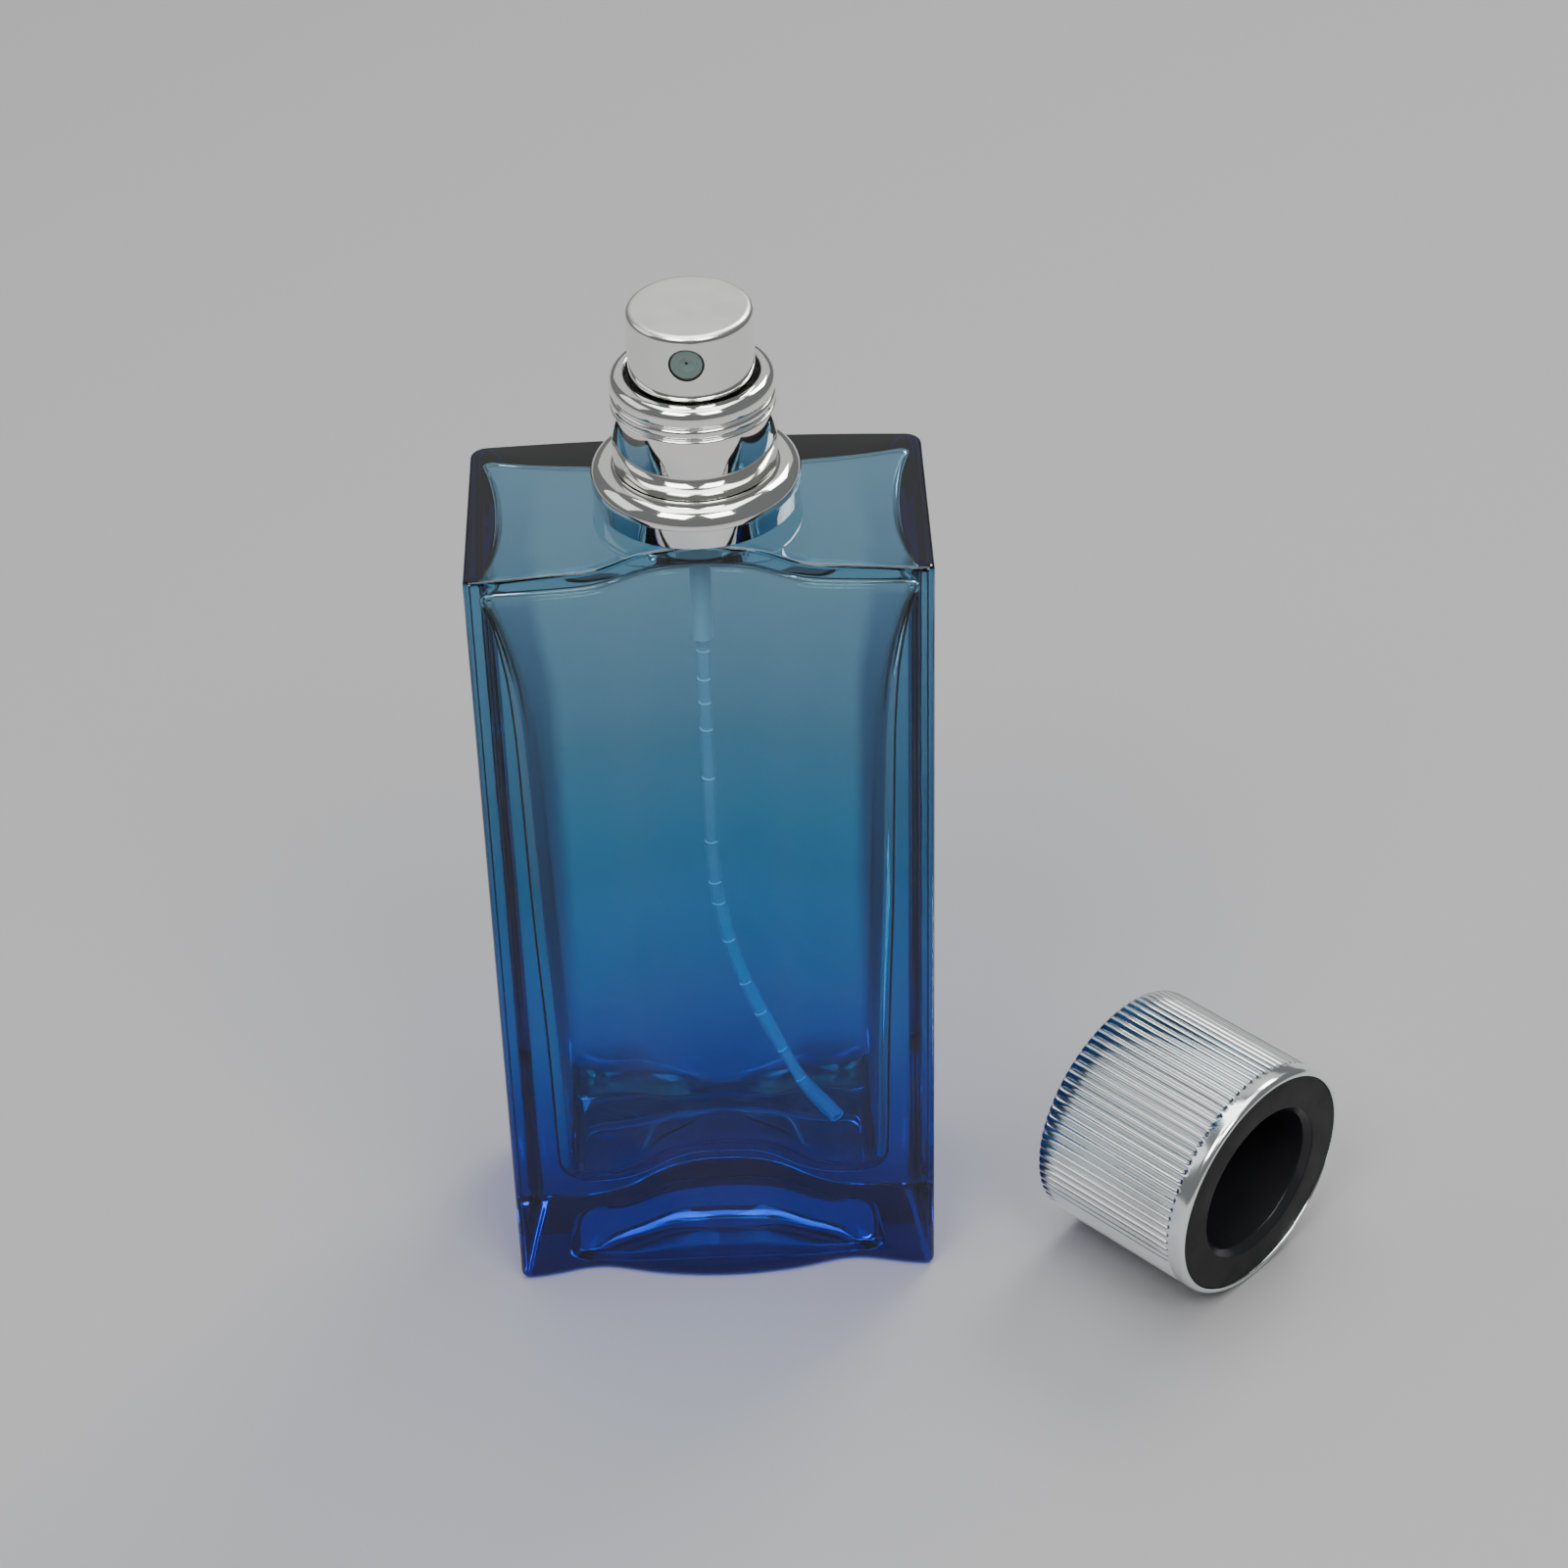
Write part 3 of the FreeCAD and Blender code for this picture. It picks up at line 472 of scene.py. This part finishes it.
def closed_outline(front, rear, half_width, front_corner, rear_corner, bow=0.0):
    """An anticlockwise outline from functions of x for its front and rear, with rounded corners and bowed-in sides."""
    reach_f, reach_r = half_width - front_corner, half_width - rear_corner
    face = []
    for step in range(FRONT_STEPS + 1):
        x = reach_f * (2 * step / FRONT_STEPS - 1)
        face.append(Vector((x, front(x))))
    back = []
    for step in range(REAR_STEPS + 1):
        x = reach_r * (1 - 2 * step / REAR_STEPS)
        back.append(Vector((x, rear(x))))
    side_front = Vector((half_width, front(half_width) + front_corner))
    side_rear = Vector((half_width, rear(half_width) - rear_corner))
    side = []
    for step in range(SIDE_STEPS + 1):
        share = step / SIDE_STEPS
        inward = bow * (1 - abs(2 * share - 1) ** 2.2)
        side.append(side_front.lerp(side_rear, share) - Vector((inward, 0)))
    mirrored = [Vector((-p.x, p.y)) for p in reversed(side)]
    corner_f, corner_r = Vector((half_width, front(half_width))), Vector((half_width, rear(half_width)))
    flip = lambda p: Vector((-p.x, p.y))
    return (
        face
        + bent_corner(face[-1], corner_f, side[0], CORNER_STEPS) + side
        + bent_corner(side[-1], corner_r, back[0], CORNER_STEPS) + back
        + bent_corner(back[-1], flip(corner_r), mirrored[0], CORNER_STEPS) + mirrored
        + bent_corner(mirrored[-1], flip(corner_f), face[0], CORNER_STEPS)
    )


def outer_loop(level, inset=0.0):
    wave = wave_at(level)
    half = WIDTH / 2 - inset
    points = closed_outline(
        lambda x: -DEPTH / 2 + inset + front_depth(x, wave),
        lambda x: DEPTH / 2 - inset + rear_depth(x, level),
        half, max(0.15, FRONT_CORNER - inset * 0.4), max(0.4, BACK_CORNER - inset * 0.4),
    )
    return [(p.x, p.y, level) for p in points]


def round_edge(level, radius, upward, steps=6):
    """(level, inset) pairs of a quarter round between a wall and a flat end."""
    made = []
    for step in range(steps + 1):
        angle = math.pi / 2 * step / steps
        made.append((level - radius * (1 - math.sin(angle)) * upward, radius * (1 - math.cos(angle))))
    return made


def ring_loop(like, radius, level):
    """A circle about the pump axis whose points lie in the directions of another loop's points."""
    made = []
    for x, y, _ in like:
        angle = math.atan2(y - PUMP_AXIS.y, x - PUMP_AXIS.x)
        made.append((PUMP_AXIS.x + radius * math.cos(angle), PUMP_AXIS.y + radius * math.sin(angle), level))
    return made


def shrunk(loop, share, level, centre=(0.0, 0.0)):
    return [(centre[0] + (x - centre[0]) * share, centre[1] + (y - centre[1]) * share, level) for x, y, _ in loop]


def smooth(share):
    share = min(1, max(0, share))
    return share * share * (3 - 2 * share)


def between(value, table):
    """Smooth reading of a table of (level, number) rows, level with the rows at both ends."""
    levels = [row[0] for row in table]
    numbers = [row[1] for row in table]
    if value <= levels[0]:
        return numbers[0]
    if value >= levels[-1]:
        return numbers[-1]
    slopes = [(b - a) / (high - low) for low, high, a, b in zip(levels, levels[1:], numbers, numbers[1:])]
    index = next(i for i in range(len(slopes)) if value <= levels[i + 1])

    def lean(row):
        if row in (0, len(slopes)):
            return slopes[min(row, len(slopes) - 1)]
        before, after = slopes[row - 1], slopes[row]
        return 0.0 if before * after <= 0 else 2 * before * after / (before + after)

    gap = levels[index + 1] - levels[index]
    t = (value - levels[index]) / gap
    return (numbers[index] * (1 + 2 * t) * (1 - t) ** 2 + numbers[index + 1] * t * t * (3 - 2 * t)
            + gap * (lean(index) * t * (1 - t) ** 2 - lean(index + 1) * t * t * (1 - t)))


FLOOR, CEILING = 13.0, 108.4
FLOOR_ROUND = 4.8
CORNER_LIFT = 1.2
CORNER_HALVES = [(13, 22.2), (34, 22.4), (62, 23.1), (84, 23.3), (93, 23.6), (99, 24.1), (104, 24.9), (108.4, 26.4)]
MIDDLE_HALVES = [(13, 22.2), (34, 22.4), (62, 23.1), (84, 23.1), (93, 23.2), (99, 23.4), (104, 23.8), (108.4, 24.5)]
WALLS = [(13, 2.8), (94, 2.6), (108.4, 3.0)]
CORNER_WALLS = [(13, 2.8), (94, 2.5), (103, 1.6), (108.4, 0.9)]
INNER_CORNERS = [(13, 4.0), (60, 3.8), (86, 3.2), (100, 2.2), (108.4, 1.2)]
REAR_PINCH = [(13, 5.0), (18, 3.7), (26, 1.7), (34, 0.7), (50, 0.0), (112, 0.0)]


def inner_loop(level, inset=0.0, lift=0.0):
    """The cavity's outline: pinched in the middle at the floor and drawn out into the corners at the shoulder."""
    half = between(level, CORNER_HALVES) - inset
    bow = between(level, CORNER_HALVES) - between(level, MIDDLE_HALVES)
    corner = max(0.8, between(level, INNER_CORNERS))
    wall_middle, wall_corner = between(level, WALLS) + inset, between(level, CORNER_WALLS) + inset
    pinch = between(level, REAR_PINCH)

    def wall(x):
        return wall_middle + (wall_corner - wall_middle) * min(1, abs(x) / half) ** 2.5

    points = closed_outline(
        lambda x: -DEPTH / 2 + front_depth(x, 1.0) + wall(x),
        lambda x: DEPTH / 2 - wall(x) + 0.4 * rear_depth(x, level) - pinch * math.exp(-(x / 8.5) ** 2),
        half, corner, corner, bow,
    )
    return [(p.x, p.y, level + lift * (min(1, abs(p.x) / 26.0) ** 3)) for p in points]


def settled(loop):
    """A loop of the cavity whose rear rounding is low in the middle and stands in a hump at either side."""
    end = FLOOR + FLOOR_ROUND
    made = []
    for x, y, level in loop:
        rear = smooth((y - 1) / 8)
        squash = rear * (0.9 * smooth(abs(x) / 13) - 0.8)
        if level <= end:
            level += (level - FLOOR) * squash
        else:
            level += FLOOR_ROUND * squash * (1 - smooth((level - end) / 12))
        made.append((x, y, level))
    return made


RECESS_POWER = 6.0
RECESS_ARCH = 1.2


def recess_loop(like, half_width, half_depth, level):
    """A rounded rectangle of the arched recess, whose points lie in the directions of another loop's points."""
    made = []
    for x, y, _ in like:
        angle = math.atan2(y / half_depth * half_width, x)
        c, s = math.cos(angle), math.sin(angle)
        radius = (abs(c) ** RECESS_POWER + abs(s) ** RECESS_POWER) ** (-1 / RECESS_POWER)
        px, py = half_width * radius * c, half_depth * radius * s
        arch = max(0.0, 1 - (py / 9.0) ** 2) * max(0.0, 1 - (abs(px) / 19.5) ** 4)
        made.append((px, py, level + RECESS_ARCH * arch))
    return made


def glass_mesh():
    heel, lip = 1.2, 0.55
    outside = []
    base = outer_loop(0, heel)
    for share in (0.2, 0.35, 0.5, 0.62, 0.74, 0.84, 0.92, 0.97):
        outside.append(recess_loop(base, 20.3 * share, 9.0 * share, 0.8))
    for half_width, half_depth, level in ((20.3, 9.0, 0.75), (21.0, 9.5, 0.55), (21.4, 9.8, 0.3),
                                          (21.7, 10.1, 0.1), (22.2, 10.4, 0.0)):
        outside.append(recess_loop(base, half_width, half_depth, level))
    for level, inset in reversed(round_edge(0, heel, -1)):
        outside.append(outer_loop(level, inset))
    levels = [1.2 + (WAVE_TOP - 1.2) * step / 24 for step in range(1, 25)]
    levels += [WAVE_TOP + (TOP - lip - WAVE_TOP) * step / 44 for step in range(1, 45)]
    outside += [outer_loop(level) for level in levels]
    for step in range(1, 7):
        angle = math.pi / 2 * step / 6
        outside.append(outer_loop(TOP - lip + lip * math.sin(angle), lip * (1 - math.cos(angle))))
    crown = outside[-1]
    for radius, level in ((11.0, TOP), (7.6, TOP), (6.9, TOP + 0.2), (6.6, TOP + 0.8), (6.6, 117.0), (6.8, 117.6),
                          (7.3, 117.8), (7.5, 118.2), (7.5, 120.7), (7.3, 121.1), (6.9, 121.2), (5.0, 121.2), (4.7, 121.1)):
        outside.append(ring_loop(crown, radius, level))
    inside = []
    for radius, level in ((4.6, 120.8), (4.6, 112.0), (4.6, 111.6), (4.75, 111.3), (6.0, 110.0), (7.3, 108.7),
                          (7.7, 108.45), (8.2, CEILING)):
        inside.append(ring_loop(crown, radius, level))
    top_round = 1.6
    mouth, rim = inside[-1], inner_loop(CEILING, top_round, CORNER_LIFT)
    for share in (0.2, 0.4, 0.6, 0.8, 0.92):
        loop = []
        for near, far in zip(mouth, rim):
            x, y = near[0] + (far[0] - near[0]) * share, near[1] + (far[1] - near[1]) * share
            loop.append((x, y, CEILING + CORNER_LIFT * min(1, abs(x) / 26.0) ** 3))
        inside.append(loop)
    for step in range(0, 7):
        angle = math.pi / 2 * step / 6
        inside.append(inner_loop(CEILING - top_round + top_round * math.cos(angle),
                                 top_round * (1 - math.sin(angle)), CORNER_LIFT))
    start, end = CEILING - top_round, FLOOR + FLOOR_ROUND
    for step in range(1, 81):
        level = start + (end - start) * step / 80
        inside.append(inner_loop(level, 0.0, CORNER_LIFT * smooth((level - 98) / 9)))
    for step in range(1, 11):
        angle = math.pi / 2 * step / 10
        inside.append(inner_loop(end - FLOOR_ROUND * math.sin(angle), FLOOR_ROUND * (1 - math.cos(angle))))
    last = inside[-1]
    for share in (0.8, 0.55, 0.3):
        inside.append(shrunk(last, share, FLOOR, (0, 0.75)))
    loops = outside + [settled(loop) for loop in inside]
    count = len(base)
    vertices = [point for loop in loops for point in loop]
    faces, indices = [], []
    for index in range(len(loops) - 1):
        for step in range(count):
            other = (step + 1) % count
            faces.append([index * count + step, index * count + other,
                          (index + 1) * count + other, (index + 1) * count + step])
            indices.append(0)
    faces.append(list(range(count - 1, -1, -1)))
    indices.append(0)
    faces.append([(len(loops) - 1) * count + step for step in range(count)])
    indices.append(0)
    return vertices, faces, indices


make_piece("glass_bottle_visual", glass_mesh(), "bottle", [BOTTLE_GLASS],
           ["glass_bottle"], sharp=50)


# ------------------------------------------------------------------ collar and base ring

COLLAR = rounded([
    (9.21, 112.4), (9.6, 112.4), (9.6, 117.0), (9.81, 117.2), (9.81, 125.15, 0.25), (9.42, 125.2, 0.12),
    (9.42, 125.45, 0.12), (9.81, 125.45, 0.45), (9.81, 126.6, 0.45), (9.42, 126.65, 0.1), (9.42, 126.85, 0.1),
    (9.81, 126.9, 0.5), (9.81, 129.2, 1.3), (8.01, 129.2, 0.3), (8.01, 127.9), (9.21, 127.8),
])
make_piece("collar_visual", lathe(COLLAR, 192, UPRIGHT), "bottle", [MIRROR_SILVER], ["collar"], 60)

RING = [(9.66, 116.8)]
for step in range(0, 21):
    angle = math.radians(110 * (1 - step / 20))
    RING.append((10.5 + 2.2 * math.cos(angle), 114.9 + 2.2 * math.sin(angle)))
RING += [(12.68, 114.75), (12.6, 114.65), (12.44, 114.62), (12.40, 114.55), (12.40, 112.15), (12.34, 112.07),
         (12.2, 112.06), (11.45, 112.06), (11.4, 112.2), (11.4, 113.4), (9.66, 113.4)]
make_piece("base_ring_visual", lathe(RING, 192, UPRIGHT), "bottle", [MIRROR_SILVER], ["base_ring"], 60)


# ------------------------------------------------------------------ return spring

SPRING_LOW, SPRING_HIGH = (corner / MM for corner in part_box("return_spring"))
SPRING_TURNS, SPRING_WIRE = 5, 0.18


def spring_mesh():
    """The coil: a helix of round wire between the ends of the CAD spring."""
    steps, sides = 32 * SPRING_TURNS, 8
    coil = (SPRING_HIGH.x - SPRING_LOW.x) / 2 - SPRING_WIRE
    foot, climb = SPRING_LOW.z + SPRING_WIRE, SPRING_HIGH.z - SPRING_LOW.z - 2 * SPRING_WIRE
    vertices = []
    for step in range(steps + 1):
        angle = 2 * math.pi * SPRING_TURNS * step / steps
        for side in range(sides):
            turn = 2 * math.pi * side / sides
            reach = coil + SPRING_WIRE * math.cos(turn)
            level = foot + climb * step / steps + SPRING_WIRE * math.sin(turn)
            vertices.append(PUMP_AXIS + Vector((reach * math.cos(angle), reach * math.sin(angle), level)))
    faces = tube_faces(0, steps + 1, sides)
    return vertices, faces, [0] * len(faces)


spring = make_piece("return_spring_visual", spring_mesh(), "bottle", [STEEL], ["return_spring"])
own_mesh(spring)


# ------------------------------------------------------------------ drops left in the dip tube

TUBE_TOP, TUBE_STRAIGHT, TUBE_BEND = 99.0, 39.0, 66.0
TUBE_HEADING = math.radians(-16)
TUBE_TURN = math.radians(35)
DROPS = (9.0, 13.4, 17.0, 21.1, 28.7, 38.8, 45.4, 48.8, 54.9, 62.0, 67.2, 73.8, 79.3)


def tube_frame(run):
    """The place and direction of the dip tube's middle line, run millimetres below its top."""
    turned = min(TUBE_TURN, max(0.0, (run - TUBE_STRAIGHT) / TUBE_BEND))
    rest = max(0.0, run - TUBE_STRAIGHT - TUBE_BEND * TUBE_TURN)
    drop = min(run, TUBE_STRAIGHT) + TUBE_BEND * math.sin(turned) + rest * math.cos(turned)
    aside = TUBE_BEND * (1 - math.cos(turned)) + rest * math.sin(turned)
    place = PUMP_AXIS + Vector((aside * math.cos(TUBE_HEADING), aside * math.sin(TUBE_HEADING), TUBE_TOP - drop))
    swing = Matrix.Rotation(TUBE_HEADING, 4, "Z") @ Matrix.Rotation(-turned, 4, "Y")
    return Matrix.Translation(place) @ swing


def drops_mesh():
    """A painted glint for each drop left in the bore: a thin white arc across the front of the tube, standing in for
    the bright rim of its meniscus.
    """
    radius, thick, steps, sides = 0.76, 0.125, 10, 6
    vertices, faces = [], []
    for run in DROPS:
        place = tube_frame(run)
        first = len(vertices)
        for step in range(steps + 1):
            angle = math.radians(-165 + 150 * step / steps)
            for side in range(sides):
                turn = 2 * math.pi * side / sides
                reach = radius + thick * math.cos(turn)
                vertices.append(place @ Vector((reach * math.cos(angle), reach * math.sin(angle),
                                                thick * math.sin(turn))))
        faces += tube_faces(first, steps + 1, sides)
    return vertices, faces, [0] * len(faces)


make_piece("dip_tube_drops", drops_mesh(), "bottle", [DROP_PAINTED_GLINT])


# ------------------------------------------------------------------ cap

def cap_shell_mesh():
    crest, ribs, per_rib, valley = 16.4, 75, 12, 0.5
    segments = ribs * per_rib
    rib_end, band_start = 21.6, 22.3
    levels = [(0.0, 15.7), (0.05, 15.9), (0.2, 16.15), (0.42, 16.3), (0.7, 16.4)]
    vertices, faces, indices, rings = [], [], [], []

    def ring(level, radius, depth):
        made = []
        for step in range(segments):
            angle = 2 * math.pi * step / segments
            share = abs(math.sin(math.pi * step / per_rib))
            cut = depth * (1 - share ** 0.8)
            reach = radius - cut
            made.append(len(vertices))
            vertices.append(CAP_FRAME @ Vector((reach * math.cos(angle), reach * math.sin(angle), level)))
        rings.append(made)

    centre = len(vertices)
    vertices.append(CAP_FRAME @ Vector((0, 0, 0)))
    rings.append([centre] * segments)
    ring(0.0, 14.0, 0)
    ring(0.0, 15.4, 0)
    for level, radius in levels:
        ring(level, radius, valley * min(1, max(0, (radius - 15.7) / 0.6)))
    for step in range(1, 9):
        ring(0.7 + (rib_end - 0.7) * step / 8, crest, valley)
    for step in range(1, 6):
        share = step / 5
        ring(rib_end + (band_start - rib_end) * share, crest, valley * math.cos(share * math.pi / 2))
    ring(22.7, 16.4, 0)
    for step in range(0, 9):
        angle = math.pi / 2 * step / 8
        ring(23.5 + 1.0 * math.sin(angle), 15.75 + 0.65 * math.cos(angle), 0)
    for level, radius in ((24.46, 15.62), (24.36, 15.54), (24.2, 15.51), (1.2, 15.51)):
        ring(level, radius, 0)
    end = len(vertices)
    vertices.append(CAP_FRAME @ Vector((0, 0, 1.2)))
    rings.append([end] * segments)
    for low, high in zip(rings, rings[1:]):
        for step in range(segments):
            other = (step + 1) % segments
            face = list(dict.fromkeys([low[step], low[other], high[other], high[step]]))
            if len(face) > 2:
                faces.append(face)
                indices.append(0)
    return vertices, faces, indices


make_piece("cap_shell_visual", cap_shell_mesh(), "cap", [CAP_SILVER], ["cap_shell"], 35)

LINER = rounded([
    (0, 2.62), (11.28, 2.62), (11.28, 22.02), (15.48, 22.02), (15.48, 24.25, 0.15), (11.05, 24.25, 0.35),
    (10.12, 23.35, 0.4), (10.12, 3.92), (0, 3.92),
])
liner_mesh = lathe(LINER, 160, CAP_FRAME, lambda r, z: 0 if r > 10.7 and z > 22 else 1)
make_piece("cap_liner_visual", liner_mesh, "cap", [FACE_BLACK, BORE_BLACK], ["cap_liner"], 40)


# ------------------------------------------------------------------ finishes of the carried-over CAD pieces

def finish_node(name, material):
    node = NODES[name]
    node.data.materials.clear()
    node.data.materials.append(material)


for node_name, node_material in {
    "neck_gasket": RUBBER, "pump_housing": PUMP_WHITE, "stem_guide": PUMP_WHITE, "crimp_ferrule": FERRULE,
    "inlet_ball": STEEL, "pump_stem": PUMP_WHITE, "piston": PUMP_WHITE,
    "dip_tube": TUBE_CLEAR, "collar_liner": LINER_GREY, "actuator_core": CORE_PAINTED_SHADE, "nozzle_insert": NOZZLE,
    "actuator_shell": BUTTON_SILVER,
}.items():
    finish_node(node_name, node_material)


# ------------------------------------------------------------------ floor, light and camera

def studio():
    floor_mesh = bpy.data.meshes.new("floor")
    half = 3.0
    floor_mesh.from_pydata([(-half, -half, 0), (half, -half, 0), (half, half, 0), (-half, half, 0)], [], [(0, 1, 2, 3)])
    floor = bpy.data.objects.new("floor", floor_mesh)
    bpy.context.scene.collection.objects.link(floor)
    shader = Shader("floor", Roughness=0.8, Base_Color=(0.34, 0.335, 0.34, 1))
    floor_mesh.materials.append(shader.material)

    world = bpy.data.worlds.new("studio")
    bpy.context.scene.world = world
    world.use_nodes = True
    world.node_tree.nodes["Background"].inputs["Color"].default_value = (0.80, 0.82, 0.85, 1)
    world.node_tree.nodes["Background"].inputs["Strength"].default_value = 0.2

    def softbox(name, place, aim, width, height, power):
        light = bpy.data.lights.new(name, "AREA")
        light.shape = "RECTANGLE"
        light.size, light.size_y = width, height
        light.energy = power
        lamp = bpy.data.objects.new(name, light)
        bpy.context.scene.collection.objects.link(lamp)
        lamp.location = place
        lamp.rotation_euler = (Vector(aim) - Vector(place)).to_track_quat("-Z", "Y").to_euler()

    softbox("ceiling", (0.0, 0.15, 1.3), (0, 0, 0.0), 1.1, 0.9, 12)
    softbox("back", (0.0, 1.35, 1.15), (0, 0, 0.1), 2.2, 1.1, 3.2)
    softbox("side", (-1.2, 0.1, 0.8), (0, 0, 0.1), 1.0, 0.8, 2.5)
    softbox("key", (0.42, 0.55, 0.72), (0, 0, 0.06), 0.35, 0.3, 4)
    softbox("front_left", (-0.30, -0.50, 0.85), (0, 0, 0.1), 0.42, 0.40, 5)
    softbox("front_right", (0.28, -0.50, 0.85), (0, 0, 0.1), 0.36, 0.40, 4)


def photograph_camera():
    """The viewpoint, as a place and three turns that were solved from the bottle's own edges."""
    across = Matrix.Rotation(2.21892, 3, "X") @ Matrix.Rotation(-0.02233, 3, "Y") @ Matrix.Rotation(0.03003, 3, "Z")
    turn = across.transposed() @ Matrix(((1, 0, 0), (0, -1, 0), (0, 0, -1)))
    data = bpy.data.cameras.new("camera")
    data.sensor_width = 36.0
    data.lens = 89.82
    data.clip_start, data.clip_end = 0.01, 20
    camera = bpy.data.objects.new("camera", data)
    bpy.context.scene.collection.objects.link(camera)
    camera.matrix_world = Matrix.Translation(Vector((4.273, -391.507, 366.539)) * MM) @ turn.to_4x4()
    bpy.context.scene.camera = camera


studio()
photograph_camera()
